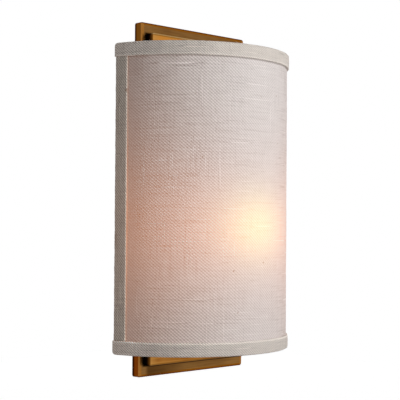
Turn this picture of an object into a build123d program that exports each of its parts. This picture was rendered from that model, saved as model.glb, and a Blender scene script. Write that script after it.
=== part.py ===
from build123d import *
import os
from math import acos, cos, degrees, sin, sqrt

# A shallow half-round linen shade on a stepped brass back plate, with one lamp behind the linen.
# Lengths are in millimetres. +X runs right along the wall, +Y into the wall and +Z up.
# The wall is the plane Y = 0. An "out" value is a distance from the wall into the room: y = -out.

# Back plate: a pressed tray, open at the wall
plate_width = 152.4
plate_height = 355.6
plate_depth = 9.5
plate_sheet = 1.6
plate_corner = 2.6
plate_edge = 1.8

# Raised plate: a second tray that stands on the first
step_side = 7.0
step_end = 11.2
step_depth = 10.0
post_inset = 14.0
post_radius = 3.5

# Screws that join the two trays from behind
plate_screw_radius = 1.5
plate_screw_grip = 6.0
plate_screw_head_radius = 3.0
plate_screw_head_height = 2.0

# Wall strap over the outlet box
strap_length = 112.0
strap_width = 20.0
strap_sheet = 1.8
strap_corner = 6.0
strap_centre_hole_radius = 5.2
box_screw_spacing = 88.9
box_slot_length = 12.0
box_slot_radius = 2.3
earth_screw_place = 16.0
earth_screw_radius = 2.0
earth_head_radius = 3.8
earth_head_height = 2.8
earth_slot_width = 1.0
earth_slot_depth = 1.2

# Studs that clamp the plates to the strap, and their cap nuts
stud_spacing = 60.0
stud_radius = 2.0
stud_grip = 6.0
spacer_radius = 4.0
cap_nut_flats = 8.0
cap_nut_hex_height = 4.0
cap_nut_height = 9.0
cap_nut_dome_radius = 3.6

# Shade, measured over the linen
shade_width = 217.0
shade_height = 304.8
shade_out = 102.0
shade_edge_out = 10.0
linen_thickness = 0.5
liner_thickness = 0.6
glue_line = 0.05

# Folded trim round the four edges of the shade
trim_width = 13.8
trim_proud = 1.3
trim_fold_thickness = 0.9
trim_turn_in = 9.0
trim_round = 0.4

# Shade wires
wire_radius = 1.5
hanger_drop = 27.0
hanger_straight = 84.0
hanger_bend = 8.0
stay_rise = 27.0
stay_reach = 58.0
stay_straight = 84.0
stay_bend = 8.0
sleeve_radius = 2.5
sleeve_length = 18.0
sleeve_end = 1.0

# Hooks that carry the hanger wire
hook_spacing = 92.0
hook_width = 12.0
hook_sheet = 1.5
hook_bend = 1.6
hook_lip = 8.0
hook_leg = 24.0
hook_rivet_drop = 15.0
rivet_radius = 1.6
rivet_head_radius = 3.0
rivet_head_height = 1.2
rivet_tail_radius = 2.6

# Lamp: a pear-shaped bulb with a 26 mm screw cap, base down
lamp_out = 57.0
lamp_light_z = -24.0
lamp_light_length = 79.0
globe_radius = 30.0
neck_radius = 12.2
neck_sweep = 55.0
glass_thickness = 0.8
glass_foot = 12.0
cap_radius = 13.0
cap_sheet = 0.35
cap_foot = 6.0
cap_length = 22.0
insulator_height = 4.8
insulator_foot_radius = 6.5
lamp_contact_radius = 4.75
lamp_contact_height = 1.2
stem_radius = 4.2
stem_flare_radius = 9.0
stem_foot = 30.0
stem_height = 30.0
filament_span = 22.0
filament_wire_radius = 0.35

# Lampholder
holder_radius = 19.0
holder_base_radius = 14.0
holder_base_drop = 14.0
holder_shoulder_drop = 6.0
holder_rim_rise = 28.0
holder_floor_drop = 2.4
holder_bore_depth = 5.0
shell_thickness = 0.4
contact_tongue_length = 18.0
contact_tongue_width = 6.0
contact_tongue_sheet = 0.5
contact_button_radius = 3.0

# Bracket that carries the lampholder
bracket_width = 22.0
bracket_sheet = 1.6
bracket_bend = 3.0
bracket_rise = 30.0
bracket_nose = 14.0
bracket_screw_low = 11.0
bracket_screw_pitch = 12.0
bracket_screw_radius = 2.0
bracket_head_radius = 3.8
bracket_head_height = 2.4
bracket_nut_flats = 7.0
bracket_nut_height = 3.0

# Threaded nipple and its locknut
nipple_radius = 4.9
nipple_bore_radius = 3.4
nipple_grip = 4.5
nipple_tail = 7.0
locknut_flats = 14.0
locknut_height = 3.0

# Leads from the lampholder to the space behind the plate
lead_radius = 1.2
lead_pitch = 3.0
lead_level_drop = 21.4
lead_bend = 12.0
lead_turn = 3.9
lead_reach = 20.0
connector_mouth_radius = 3.4
connector_tip_radius = 2.5
connector_length = 20.0
connector_grip = 8.0
bushing_bore_radius = 4.1
bushing_radius = 5.0
bushing_flange_radius = 7.0
bushing_flange = 1.5
bushing_tail = 0.8

# Clearances
seat_gap = 0.3
rest_gap = 0.1
thread_gap = 0.03
hole_gap = 0.2

# Worked out from the sizes above
raised_out = plate_depth + step_depth
raised_width = plate_width - 2 * step_side
raised_height = plate_height - 2 * step_end
raised_back = raised_out - plate_sheet
plate_back = plate_depth - plate_sheet

shade_rise = shade_out - shade_edge_out
shade_radius = ((shade_width / 2) ** 2 + shade_rise ** 2) / (2 * shade_rise)
shade_axis_y = shade_radius - shade_out
shade_angle = degrees(acos((shade_radius - shade_rise) / shade_radius))
shade_top = shade_height / 2
liner_outer = shade_radius - linen_thickness - glue_line
liner_inner = liner_outer - liner_thickness
ring_radius = liner_inner - glue_line - wire_radius
turn_in_outer = ring_radius - wire_radius - glue_line
turn_in_inner = turn_in_outer - trim_fold_thickness
trim_outer = shade_radius + trim_proud
trim_angle = shade_angle + degrees((trim_fold_thickness + glue_line) / shade_radius)
sheet_top = shade_top - trim_fold_thickness - glue_line
ring_z = sheet_top - wire_radius
side_wire_angle = shade_angle - degrees(wire_radius / ring_radius)

hanger_z = shade_top - hanger_drop
hanger_out = raised_out + seat_gap + wire_radius
stay_z = stay_rise - shade_top
stay_out = raised_out + seat_gap + sleeve_radius
hook_seat_z = hanger_z - wire_radius - rest_gap
hook_lip_out = hanger_out + wire_radius + seat_gap
hook_rivet_z = hook_seat_z - hook_rivet_drop

lamp_tip_z = lamp_light_z - lamp_light_length
holder_base_z = lamp_tip_z - holder_base_drop
holder_floor_z = lamp_tip_z - holder_floor_drop
shell_inner = cap_radius + seat_gap
shell_outer = shell_inner + shell_thickness
bracket_low_z = holder_base_z - bracket_sheet
bracket_out = raised_out + bracket_sheet
bracket_screw_z = [holder_base_z + bracket_screw_low + i * bracket_screw_pitch for i in range(2)]
lead_top_z = holder_base_z + nipple_grip
lead_level_z = bracket_low_z - lead_level_drop
lead_hollow_out = plate_back / 2


# Shared ways of making a solid

def out_plane(out):
    """Plane parallel to the wall. Its own x is +X, its own y is +Z and it faces the room."""
    return Plane.XZ.offset(out)


def peg(x, z, radius, start, end):
    """Round bar square to the wall, from one out value to another."""
    return extrude(out_plane(start) * Pos(x, z) * Circle(radius), amount=end - start)


def hexagon(x, z, flats, start, end):
    """Hexagonal bar square to the wall."""
    outline = RegularPolygon(flats / 2, 6, major_radius=False)
    return extrude(out_plane(start) * Pos(x, z) * outline, amount=end - start)


def turned_up(outline, x=0.0, out=lamp_out):
    """Solid turned about a vertical line, from closed outline points (radius, z)."""
    section = Plane((x, -out, 0), (1, 0, 0), (0, -1, 0)) * make_face(Polyline(*outline, close=True))
    return revolve(section, Axis((x, -out, 0), (0, 0, 1)))


def turned_out(outline, x, z):
    """Solid turned about a line square to the wall, from closed outline points (radius, out)."""
    section = Plane((x, 0, z), (1, 0, 0), (0, 0, -1)) * make_face(Polyline(*outline, close=True))
    return revolve(section, Axis((x, 0, z), (0, -1, 0)))


def bent_strip(points, bend, thickness, width, x=0.0):
    """Strip of sheet that follows (out, z) points with rounded bends, centred on x."""
    path = FilletPolyline(*[(-out, z) for out, z in points], radius=bend)
    section = Plane.YZ.offset(x) * trace(path, line_width=thickness)
    return extrude(section, amount=width / 2, both=True)


def round_bar(path, radius):
    """Round bar along a path of straight runs and arcs."""
    return sweep((path ^ 0) * Circle(radius), path=path)


def shade_plane(angle):
    """Upright plane through the shade's axis. Its own x is the radius and its own y is +Z."""
    turn = Axis.Z.direction
    radial = Vector(0, -1, 0).rotate(Axis.Z, angle)
    return Plane((0, shade_axis_y, 0), radial, radial.cross(turn))


def shade_swept(section, angle):
    """Section of (radius, z) carried round the shade from -angle to +angle."""
    return revolve(shade_plane(-angle) * section, Axis((0, shade_axis_y, 0), (0, 0, 1)), 2 * angle)


def shade_band(inner, outer, low, high, angle):
    """Curved sheet with square edges."""
    section = Pos((inner + outer) / 2, (low + high) / 2) * Rectangle(outer - inner, high - low)
    return shade_swept(section, angle)


def shade_point(radius, angle, z):
    """Point at a radius and an angle round the shade. Angle 0 is the front."""
    spoke = Vector(0, -radius, 0).rotate(Axis.Z, angle)
    return Vector(spoke.X, spoke.Y + shade_axis_y, z)


def mirrored_pair(solid):
    """The solid and its mirror image across X = 0."""
    return Compound([solid, mirror(solid, Plane.YZ)])


# Back plates

def tray(width, height, back, front):
    """Pressed tray with rounded corners and front edge, open at the back."""
    body = extrude(out_plane(back) * RectangleRounded(width, height, plate_corner), amount=front - back)
    body = fillet(body.edges().group_by(Axis.Y)[0], plate_edge)
    inner_corner = max(plate_corner - plate_sheet, plate_sheet / 4)
    inner = RectangleRounded(width - 2 * plate_sheet, height - 2 * plate_sheet, inner_corner)
    return body - extrude(out_plane(back) * inner, amount=front - back - plate_sheet)


def post_places():
    """Centres (x, z) of the four posts behind the raised plate."""
    x = raised_width / 2 - post_inset
    z = raised_height / 2 - post_inset
    return [(-x, -z), (x, -z), (-x, z), (x, z)]


def stud_places():
    """Centres x of the two studs."""
    return [-stud_spacing / 2, stud_spacing / 2]


def hook_places():
    """Centres x of the two hooks."""
    return [-hook_spacing / 2, hook_spacing / 2]


def back_plate():
    """Tray against the wall, bored for its screws, the studs and the lead bushing."""
    plate = tray(plate_width, plate_height, 0, plate_depth)
    for x, z in post_places():
        plate -= peg(x, z, plate_screw_radius + hole_gap, 0, plate_depth)
    for x in stud_places():
        plate -= peg(x, 0, stud_radius + hole_gap, 0, plate_depth)
    return plate - peg(0, lead_level_z, bushing_radius + glue_line, 0, plate_depth)


def raised_plate():
    """Smaller tray on the first, with four tapped posts welded inside it."""
    plate = tray(raised_width, raised_height, plate_depth, raised_out)
    for x, z in post_places():
        plate += peg(x, z, post_radius, plate_depth, raised_back)
        plate -= peg(x, z, plate_screw_radius + thread_gap, plate_depth, plate_depth + plate_screw_grip)
    for x in stud_places():
        plate -= peg(x, 0, stud_radius + hole_gap, plate_depth, raised_out)
    for x in hook_places():
        plate -= peg(x, hook_rivet_z, rivet_radius + glue_line, plate_depth, raised_out)
    for z in bracket_screw_z:
        plate -= peg(0, z, bracket_screw_radius + hole_gap, plate_depth, raised_out)
    return plate - peg(0, lead_level_z, bushing_radius + glue_line, plate_depth, raised_out)


def plate_screws():
    """Four screws whose heads lie inside the back plate's tray."""
    screws = []
    for x, z in post_places():
        head = peg(x, z, plate_screw_head_radius, plate_back - plate_screw_head_height, plate_back)
        shank = peg(x, z, plate_screw_radius, plate_back, plate_depth + plate_screw_grip)
        screws.append(head + shank)
    return Compound(screws)


# Wall strap and studs

def wall_strap():
    """Flat steel strap with slots for the outlet box's screws."""
    outline = RectangleRounded(strap_length, strap_width, strap_corner)
    slot = SlotOverall(box_slot_length, 2 * box_slot_radius)
    outline -= Pos(-box_screw_spacing / 2, 0) * slot
    outline -= Pos(box_screw_spacing / 2, 0) * slot
    outline -= Circle(strap_centre_hole_radius)
    outline -= Pos(earth_screw_place, 0) * Circle(earth_screw_radius + thread_gap)
    for x in stud_places():
        outline -= Pos(x, 0) * Circle(stud_radius + thread_gap)
    return extrude(out_plane(0) * outline, amount=strap_sheet)


def mounting_studs():
    """Two studs from the strap through both plates."""
    return Compound([peg(x, 0, stud_radius, 0, raised_out + stud_grip) for x in stud_places()])


def stud_spacers():
    """Two tubes that keep the trays apart where the studs clamp them."""
    tube = []
    for x in stud_places():
        wall = peg(x, 0, spacer_radius, plate_depth, raised_back)
        tube.append(wall - peg(x, 0, stud_radius + hole_gap, plate_depth, raised_back))
    return Compound(tube)


def cap_nuts():
    """Two domed nuts on the raised plate's face."""
    nuts = []
    dome_start = raised_out + cap_nut_hex_height
    dome_end = raised_out + cap_nut_height
    for x in stud_places():
        nut = hexagon(x, 0, cap_nut_flats, raised_out, dome_start)
        dome = peg(x, 0, cap_nut_dome_radius, dome_start, dome_end)
        dome_edge = dome.edges().group_by(Axis.Y)[0]
        nut += fillet(dome_edge, 0.8 * min(cap_nut_dome_radius, dome_end - dome_start))
        nuts.append(nut - peg(x, 0, stud_radius + thread_gap, raised_out, raised_out + stud_grip + seat_gap))
    return Compound(nuts)


def earth_screw():
    """Slotted earthing screw in the strap."""
    head_top = strap_sheet + earth_head_height
    screw = peg(earth_screw_place, 0, earth_screw_radius, 0, strap_sheet)
    screw += peg(earth_screw_place, 0, earth_head_radius, strap_sheet, head_top)
    slot = Pos(earth_screw_place, 0) * Rectangle(2 * earth_head_radius, earth_slot_width)
    return screw - extrude(out_plane(head_top - earth_slot_depth) * slot, amount=earth_slot_depth)


# Hooks

def shade_hooks():
    """Two strips bent into an upward-open hook, riveted to the raised plate below the hook."""
    half = hook_sheet / 2
    centre = [
        (raised_out + half, hook_seat_z - hook_leg),
        (raised_out + half, hook_seat_z - half),
        (hook_lip_out + half, hook_seat_z - half),
        (hook_lip_out + half, hook_seat_z + hook_lip),
    ]
    hooks = []
    for x in hook_places():
        hook = bent_strip(centre, hook_bend, hook_sheet, hook_width, x)
        hooks.append(hook - peg(x, hook_rivet_z, rivet_radius + glue_line, raised_out, hook_lip_out))
    return Compound(hooks)


def hook_rivets():
    """Two rivets, headed in front of the hook and set behind the raised plate's sheet."""
    face = raised_out + hook_sheet
    tail = raised_back - rivet_head_height
    rivets = []
    for x in hook_places():
        rivet = peg(x, hook_rivet_z, rivet_radius, raised_back, face)
        head = peg(x, hook_rivet_z, rivet_head_radius, face, face + rivet_head_height)
        rivet += fillet(head.edges().group_by(Axis.Y)[0], 0.7 * rivet_head_height)
        rivets.append(rivet + peg(x, hook_rivet_z, rivet_tail_radius, tail, raised_back))
    return Compound(rivets)


# Lampholder and what carries it

def lamp_bracket():
    """Steel angle: one leg on the raised plate, the other under the lampholder."""
    half = bracket_sheet / 2
    centre = [
        (raised_out + half, holder_base_z + bracket_rise),
        (raised_out + half, holder_base_z - half),
        (lamp_out + bracket_nose, holder_base_z - half),
    ]
    bracket = bent_strip(centre, bracket_bend, bracket_sheet, bracket_width)
    nose_corners = bracket.edges().filter_by(Axis.Z).group_by(Axis.Y)[0]
    bracket = fillet(nose_corners, 0.45 * bracket_width)
    for z in bracket_screw_z:
        bracket -= peg(0, z, bracket_screw_radius + hole_gap, raised_out, bracket_out)
    hole = Pos(0, -lamp_out) * Circle(nipple_radius + hole_gap)
    return bracket - extrude(Plane.XY.offset(bracket_low_z) * hole, amount=bracket_sheet)


def bracket_screws():
    """Two screws through the bracket and the raised plate."""
    screws = []
    for z in bracket_screw_z:
        head = peg(0, z, bracket_head_radius, bracket_out, bracket_out + bracket_head_height)
        head = fillet(head.edges().group_by(Axis.Y)[0], 0.5 * bracket_head_height)
        screws.append(head + peg(0, z, bracket_screw_radius, raised_back - bracket_nut_height, bracket_out))
    return Compound(screws)


def bracket_nuts():
    """Two nuts behind the raised plate's sheet."""
    nuts = []
    start = raised_back - bracket_nut_height
    for z in bracket_screw_z:
        nut = hexagon(0, z, bracket_nut_flats, start, raised_back)
        nuts.append(nut - peg(0, z, bracket_screw_radius + thread_gap, start, raised_back))
    return Compound(nuts)


def nipple():
    """Threaded tube through the bracket into the lampholder's base."""
    low = bracket_low_z - nipple_tail
    return turned_up([
        (nipple_bore_radius, low),
        (nipple_radius, low),
        (nipple_radius, lead_top_z),
        (nipple_bore_radius, lead_top_z),
    ])


def nipple_locknut():
    """Hexagonal locknut under the bracket."""
    outline = RegularPolygon(locknut_flats / 2, 6, major_radius=False)
    outline -= Circle(nipple_radius + thread_gap)
    low = Plane.XY.offset(bracket_low_z - locknut_height)
    return extrude(low * Pos(0, -lamp_out) * outline, amount=locknut_height)


def lampholder_body():
    """Moulded cup with a tapered base that is bored for the nipple."""
    nipple_bore = nipple_radius + thread_gap
    bore_top = holder_base_z + holder_bore_depth
    shell_bore = shell_outer + glue_line
    rim_z = lamp_tip_z + holder_rim_rise
    return turned_up([
        (nipple_bore, holder_base_z),
        (holder_base_radius, holder_base_z),
        (holder_radius, lamp_tip_z - holder_shoulder_drop),
        (holder_radius, rim_z),
        (shell_bore, rim_z),
        (shell_bore, holder_floor_z),
        (0, holder_floor_z),
        (0, bore_top),
        (nipple_bore, bore_top),
    ])


def holder_screw_shell():
    """Brass shell that the lamp's cap screws into, standing on the holder's floor."""
    low = holder_floor_z
    high = lamp_tip_z + holder_rim_rise - 2 * shell_thickness
    return turned_up([
        (shell_inner, low),
        (shell_outer, low),
        (shell_outer, high),
        (shell_inner, high),
    ])


def holder_centre_contact():
    """Brass tongue on the holder's floor, with a button under the lamp's tip."""
    tongue = Pos(0, -lamp_out) * RectangleRounded(contact_tongue_length, contact_tongue_width, 1)
    contact = extrude(Plane.XY.offset(holder_floor_z) * tongue, amount=contact_tongue_sheet)
    button = Pos(0, -lamp_out) * Circle(contact_button_radius)
    return contact + extrude(
        Plane.XY.offset(holder_floor_z) * button,
        amount=lamp_tip_z - rest_gap - holder_floor_z,
    )


# Leads

def plate_bushing():
    """Flanged bushing that lines the lead hole through both plates."""
    tail = plate_back - bushing_tail
    face = raised_out + bushing_flange
    return turned_out([
        (bushing_bore_radius, tail),
        (bushing_radius, tail),
        (bushing_radius, raised_out),
        (bushing_flange_radius, raised_out),
        (bushing_flange_radius, face),
        (bushing_bore_radius, face),
    ], 0, lead_level_z)


def lamp_leads():
    """Two leads: down the nipple, back through the bushing, then one to each side."""
    x = lead_pitch / 2
    path = FilletPolyline(
        (x, -lamp_out, lead_top_z),
        (x, -lamp_out, lead_level_z),
        (x, -lead_hollow_out, lead_level_z),
        (x + lead_reach, -lead_hollow_out, lead_level_z),
        radius=[lead_bend, lead_turn],
    )
    return mirrored_pair(round_bar(path, lead_radius))


def lead_connectors():
    """Two twist-on connectors on the leads' ends, lying inside the back plate's tray."""
    bore = lead_radius + glue_line
    end = lead_pitch / 2 + lead_reach
    mouth = end - connector_grip
    tip = mouth + connector_length
    outline = Polyline(
        (mouth, bore),
        (mouth, connector_mouth_radius),
        (tip, connector_tip_radius),
        (tip, 0),
        (end + seat_gap, 0),
        (end + seat_gap, bore),
        close=True,
    )
    centre = Plane((0, -lead_hollow_out, lead_level_z), (1, 0, 0), (0, -1, 0))
    return mirrored_pair(revolve(centre * make_face(outline), Axis(centre.origin, centre.x_dir)))


# Shade

def weld_point(target):
    """Point on the right side wire's surface that faces the target, at the target's level."""
    centre = shade_point(ring_radius, side_wire_angle, target.Z)
    return centre + (target - centre).normalized() * (wire_radius + glue_line)


def hanger_path():
    """Centre line of the wire across the shade, from side wire to side wire."""
    bend = Vector(hanger_straight, -hanger_out, hanger_z)
    end = weld_point(bend)
    return FilletPolyline(
        (-end.X, end.Y, end.Z),
        (-bend.X, bend.Y, bend.Z),
        (bend.X, bend.Y, bend.Z),
        (end.X, end.Y, end.Z),
        radius=hanger_bend,
    )


def stay_path():
    """Centre line of the right stay, from the side wire to its end before the raised plate."""
    bend = Vector(stay_straight, -stay_out, stay_z)
    end = weld_point(bend)
    return FilletPolyline(
        (end.X, end.Y, end.Z),
        (bend.X, bend.Y, bend.Z),
        (stay_reach + sleeve_end, -stay_out, stay_z),
        radius=stay_bend,
    )


def linen_cover():
    """Linen laminated to the outside of the liner."""
    return shade_band(liner_outer + glue_line, shade_radius, -sheet_top, sheet_top, shade_angle)


def shade_liner():
    """Stiff translucent sheet that gives the linen its curve."""
    return shade_band(liner_inner, liner_outer, -sheet_top, sheet_top, shade_angle)


def edge_trim(side):
    """Folded linen over the top (side 1) or bottom (side -1) edge and its wire."""
    edge = side * shade_top
    fold = side * (shade_top - trim_fold_thickness)
    section = make_face(Polyline(
        (trim_outer, edge - side * trim_width),
        (trim_outer, edge),
        (turn_in_inner, edge),
        (turn_in_inner, edge - side * trim_turn_in),
        (turn_in_outer, edge - side * trim_turn_in),
        (turn_in_outer, fold),
        (shade_radius + glue_line, fold),
        (shade_radius + glue_line, edge - side * trim_width),
        close=True,
    ))
    outside = section.vertices().group_by(Axis.X)[-1] + section.vertices().group_by(Axis.X)[0]
    return shade_swept(fillet(outside, trim_round), trim_angle)


def side_trim(side):
    """Folded linen over the left (side -1) or right (side 1) edge, slit for the cross wires."""
    half_height = shade_top - trim_width - glue_line
    tall = 2 * half_height

    def leg(inner, outer, reach):
        """Curved wall from the shade's edge back round it by a length of arc."""
        section = Pos((inner + outer) / 2, 0) * Rectangle(outer - inner, tall)
        start = trim_angle - degrees(reach / outer)
        wall = shade_plane(start) * section
        return revolve(wall, Axis((0, shade_axis_y, 0), (0, 0, 1)), trim_angle - start)

    outer_leg = leg(shade_radius + glue_line, trim_outer, trim_width)
    inner_leg = leg(turn_in_inner, turn_in_outer, trim_turn_in)
    web = leg(turn_in_inner, trim_outer, trim_fold_thickness * trim_outer / shade_radius)
    trim = outer_leg + inner_leg + web
    trim -= round_bar(hanger_path(), wire_radius + glue_line)
    trim -= round_bar(stay_path(), wire_radius + glue_line)
    return trim if side > 0 else mirror(trim, Plane.YZ)


def ring_wire(side):
    """Wire inside the top (side 1) or bottom (side -1) edge of the shade."""
    return shade_swept(Pos(ring_radius, side * ring_z) * Circle(wire_radius), side_wire_angle)


def side_wires():
    """Two upright wires from ring to ring."""
    reach = ring_z - wire_radius - glue_line
    foot = shade_point(ring_radius, side_wire_angle, -reach)
    wire = extrude(Plane(foot) * Circle(wire_radius), amount=2 * reach)
    return mirrored_pair(wire)


def hanger_wire():
    """Wire across the shade, in front of the raised plate, that rests in the hooks."""
    return round_bar(hanger_path(), wire_radius)


def stay_wires():
    """Two short wires that hold the shade's lower half off the plate."""
    return mirrored_pair(round_bar(stay_path(), wire_radius))


def stay_sleeves():
    """Two soft sleeves on the stays' ends, resting on the raised plate."""
    start = Plane((stay_reach, -stay_out, stay_z), (0, 1, 0), (1, 0, 0))
    sleeve = extrude(start * Circle(sleeve_radius), amount=sleeve_length)
    bore_start = start.offset(sleeve_end - glue_line)
    sleeve -= extrude(bore_start * Circle(wire_radius + glue_line), amount=sleeve_length)
    return mirrored_pair(sleeve)


# Lamp

def pear(globe, neck, sweep_radius, foot_z):
    """Half outline of a pear: a neck, a hollow sweep and a globe, each tangent to the next."""
    reach = sqrt((globe + sweep_radius) ** 2 - (neck + sweep_radius) ** 2)
    start_z = lamp_light_z - reach
    share = globe / (globe + sweep_radius)
    meet = (share * (neck + sweep_radius), lamp_light_z - share * reach)
    turn = degrees(acos((neck + sweep_radius) / (globe + sweep_radius)))
    middle = Vector(-sweep_radius, 0).rotate(Axis.Z, -turn / 2) + Vector(neck + sweep_radius, start_z)
    return [
        Line((neck, foot_z), (neck, start_z)),
        ThreePointArc((neck, start_z), middle, meet),
        ThreePointArc(meet, (globe, lamp_light_z), (0, lamp_light_z + globe)),
    ]


def lamp_glass():
    """Frosted pear-shaped bulb, open at the foot of its neck."""
    foot_z = lamp_tip_z + glass_foot
    outer = pear(globe_radius, neck_radius, neck_sweep, foot_z)
    inner = pear(
        globe_radius - glass_thickness,
        neck_radius - glass_thickness,
        neck_sweep + glass_thickness,
        foot_z,
    )
    foot = Line((neck_radius - glass_thickness, foot_z), (neck_radius, foot_z))
    crown = Line(
        (0, lamp_light_z + globe_radius - glass_thickness),
        (0, lamp_light_z + globe_radius),
    )
    section = Plane((0, -lamp_out, 0), (1, 0, 0), (0, -1, 0)) * make_face([*outer, *inner, foot, crown])
    return revolve(section, Axis((0, -lamp_out, 0), (0, 0, 1)))


def lamp_cap():
    """Thin metal screw cap over the foot of the glass."""
    low = lamp_tip_z + cap_foot
    high = low + cap_length
    inner = cap_radius - cap_sheet
    return turned_up([(inner, low), (cap_radius, low), (cap_radius, high), (inner, high)])


def lamp_insulator():
    """Glass button that closes the cap and carries the contact."""
    low = lamp_tip_z + lamp_contact_height
    inside = cap_radius - cap_sheet - glue_line
    shoulder = low + insulator_height
    return turned_up([
        (0, low),
        (insulator_foot_radius, low),
        (inside, shoulder),
        (inside, shoulder + lamp_contact_height),
        (0, shoulder + lamp_contact_height),
    ])


def lamp_contact():
    """Solder contact at the lamp's tip."""
    high = lamp_tip_z + lamp_contact_height
    return turned_up([
        (0, lamp_tip_z),
        (lamp_contact_radius * 0.7, lamp_tip_z),
        (lamp_contact_radius, high),
        (0, high),
    ])


def lamp_stem():
    """Glass stem that flares out to the inside of the neck."""
    low = lamp_tip_z + glass_foot
    flare_top = low + stem_flare_radius
    high = low + stem_foot + stem_height / 2
    inside = neck_radius - glass_thickness - glue_line
    return turned_up([
        (0, flare_top),
        (inside - glass_thickness, low),
        (inside, low),
        (stem_radius, flare_top + stem_flare_radius),
        (stem_radius, high),
        (0, high),
    ])


def lamp_filament():
    """Two lead-in wires from the stem and the filament arched between them."""
    low = lamp_tip_z + glass_foot + stem_foot + stem_height / 2 + seat_gap
    root = stem_radius / 2
    half = filament_span / 2
    path = FilletPolyline(
        (-root, -lamp_out, low),
        (-half, -lamp_out, lamp_light_z),
        (0, -lamp_out, lamp_light_z + half / 2),
        (half, -lamp_out, lamp_light_z),
        (root, -lamp_out, low),
        radius=half / 5,
    )
    return round_bar(path, filament_wire_radius)


pieces = {
    "back_plate": back_plate(),
    "raised_plate": raised_plate(),
    "plate_screws": plate_screws(),
    "wall_strap": wall_strap(),
    "mounting_studs": mounting_studs(),
    "stud_spacers": stud_spacers(),
    "cap_nuts": cap_nuts(),
    "earth_screw": earth_screw(),
    "shade_hooks": shade_hooks(),
    "hook_rivets": hook_rivets(),
    "lamp_bracket": lamp_bracket(),
    "bracket_screws": bracket_screws(),
    "bracket_nuts": bracket_nuts(),
    "nipple": nipple(),
    "nipple_locknut": nipple_locknut(),
    "lampholder_body": lampholder_body(),
    "holder_screw_shell": holder_screw_shell(),
    "holder_centre_contact": holder_centre_contact(),
    "plate_bushing": plate_bushing(),
    "lamp_leads": lamp_leads(),
    "lead_connectors": lead_connectors(),
    "linen_cover": linen_cover(),
    "shade_liner": shade_liner(),
    "top_trim": edge_trim(1),
    "bottom_trim": edge_trim(-1),
    "left_trim": side_trim(-1),
    "right_trim": side_trim(1),
    "top_ring_wire": ring_wire(1),
    "bottom_ring_wire": ring_wire(-1),
    "side_wires": side_wires(),
    "hanger_wire": hanger_wire(),
    "stay_wires": stay_wires(),
    "stay_sleeves": stay_sleeves(),
    "lamp_glass": lamp_glass(),
    "lamp_cap": lamp_cap(),
    "lamp_insulator": lamp_insulator(),
    "lamp_contact": lamp_contact(),
    "lamp_stem": lamp_stem(),
    "lamp_filament": lamp_filament(),
}

os.makedirs("parts", exist_ok=True)
for name, piece in pieces.items():
    export_step(piece, f"parts/{name}.step")
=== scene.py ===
import math

import bmesh
import bpy
import numpy as np
from mathutils import Matrix, Vector


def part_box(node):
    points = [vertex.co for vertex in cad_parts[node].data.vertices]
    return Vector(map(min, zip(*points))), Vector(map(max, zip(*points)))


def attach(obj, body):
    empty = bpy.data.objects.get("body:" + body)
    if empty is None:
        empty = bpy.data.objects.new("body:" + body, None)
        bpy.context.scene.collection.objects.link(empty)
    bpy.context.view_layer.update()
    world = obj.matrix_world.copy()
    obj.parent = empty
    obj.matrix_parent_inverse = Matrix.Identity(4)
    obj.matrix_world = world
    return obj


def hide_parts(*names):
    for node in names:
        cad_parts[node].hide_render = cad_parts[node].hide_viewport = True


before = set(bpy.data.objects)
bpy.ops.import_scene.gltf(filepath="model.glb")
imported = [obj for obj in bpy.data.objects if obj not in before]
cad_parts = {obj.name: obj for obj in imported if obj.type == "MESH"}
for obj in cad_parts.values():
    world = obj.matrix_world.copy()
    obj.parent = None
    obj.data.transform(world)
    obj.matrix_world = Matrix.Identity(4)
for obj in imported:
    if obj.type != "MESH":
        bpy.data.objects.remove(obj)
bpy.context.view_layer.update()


# ---------------------------------------------------------------------------------------------------------
# Wall strap
# A flat steel strap, punched and bright zinc plated, that is screwed over the outlet box and carries the
# whole light. Its earthing screw is passivated green.

def linear(code):
    """Linear colour of an sRGB hex value: c / 12.92 up to 0.04045, else ((c + 0.055) / 1.055) ** 2.4."""
    srgb = np.array([int(code[i:i + 2], 16) / 255 for i in (0, 2, 4)])
    value = np.where(srgb <= 0.04045, srgb / 12.92, ((srgb + 0.055) / 1.055) ** 2.4)
    return (*value.tolist(), 1.0)


def add(material, kind, inputs=(), **settings):
    """Adds a node with its settings. inputs gives each socket a value or a link from another node."""
    node = material.node_tree.nodes.new(kind)
    for name, value in settings.items():
        setattr(node, name, value)
    for socket, value in dict(inputs).items():
        if isinstance(value, bpy.types.NodeSocket):
            material.node_tree.links.new(value, node.inputs[socket])
        else:
            node.inputs[socket].default_value = value
    return node


def surface(name, sockets):
    """An empty material whose Principled shader has its sockets set. Returns the material and the shader."""
    material = bpy.data.materials.new(name)
    material.use_nodes = True
    shader = material.node_tree.nodes["Principled BSDF"]
    for socket, value in sockets.items():
        shader.inputs[socket].default_value = value
    return material, shader


def join(material, output, socket):
    """Links a node's output to a socket that is there already."""
    material.node_tree.links.new(output, socket)


def blend(material, share, first, second):
    """One colour turning into another as a share goes from 0 to 1."""
    return add(material, "ShaderNodeMix", {0: share, 6: first, 7: second}, data_type="RGBA").outputs[2]


def ramp(material, value, start, end, high=1.0, low=0.0, shape="SMOOTHSTEP"):
    """A step of a value from low at start to high at end, either smooth or LINEAR."""
    step = {0: value, 1: start, 2: end, 3: low, 4: high}
    return add(material, "ShaderNodeMapRange", step, interpolation_type=shape).outputs[0]


def lift_surface(material, shader, height, distance):
    """Tilts a shader's normals as if its surface rose by a distance in metres where the height is 1."""
    bump = add(material, "ShaderNodeBump", {"Strength": 1, "Distance": distance, "Height": height})
    join(material, bump.outputs["Normal"], shader.inputs["Normal"])


def noise(material, place, size, detail):
    """A noise whose grain has one size in metres."""
    grain = {"Vector": place, "Scale": 1 / size, "Detail": detail}
    return add(material, "ShaderNodeTexNoise", grain).outputs["Fac"]


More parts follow.
